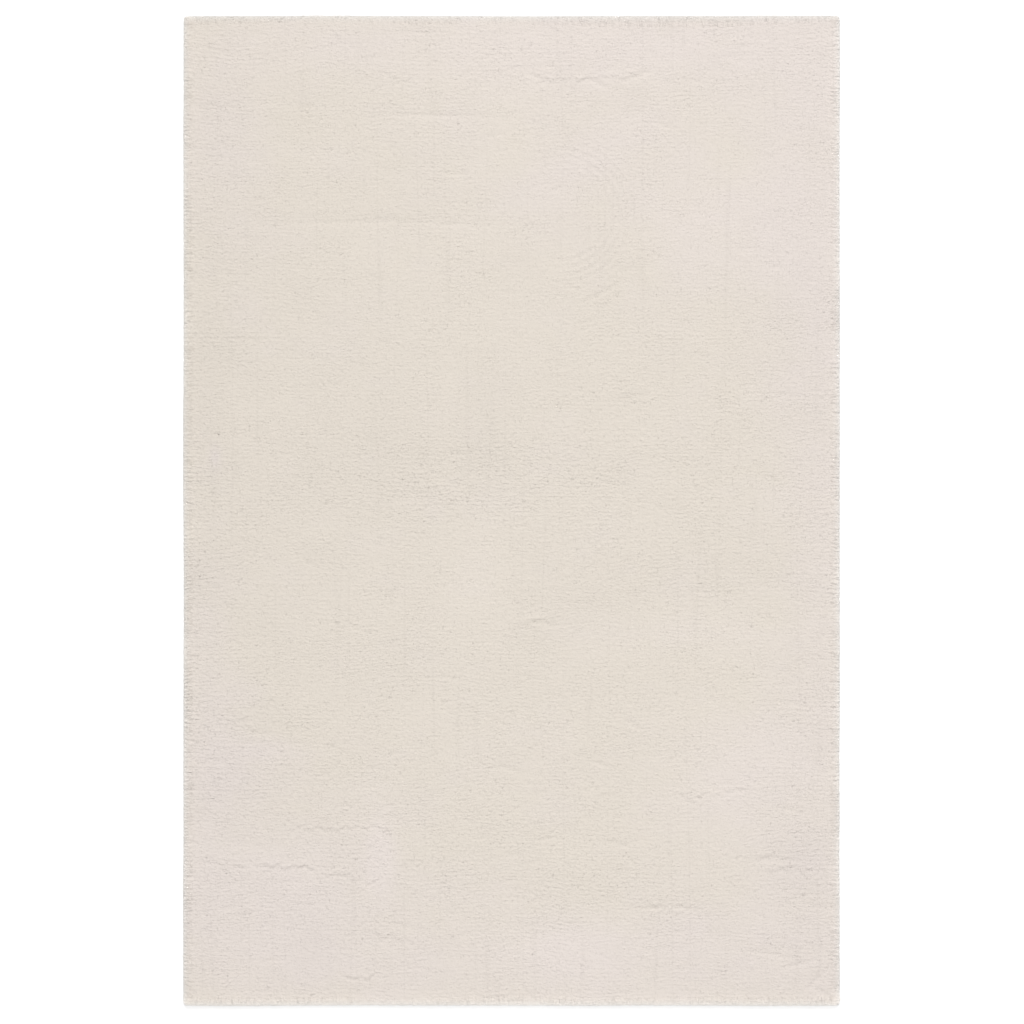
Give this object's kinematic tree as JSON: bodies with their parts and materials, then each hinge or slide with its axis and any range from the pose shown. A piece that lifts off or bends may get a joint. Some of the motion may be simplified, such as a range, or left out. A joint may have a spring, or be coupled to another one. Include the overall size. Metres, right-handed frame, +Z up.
{
  "type": "shag rug",
  "caption": "Flat rectangular shag rug in plain cream, with a dense soft pile lying in fine ripples and short locks falling over its square-cornered rim.",
  "frame": {"origin": "on the floor, under the middle of the rug", "axes": "+Z up through the pile, +Y along the rug towards the end that the nap leans away from, +X across its width"},
  "size_m": [1.2, 1.81, 0.0212],
  "materials": {
    "cream_pile": "dense soft cut pile, matt with a faint bloom",
    "woven_ground": "plain close-woven ground cloth, matt"
  },
  "bodies": {
    "root": {"shag_rug": "cream_pile"}
  },
  "joints": []
}
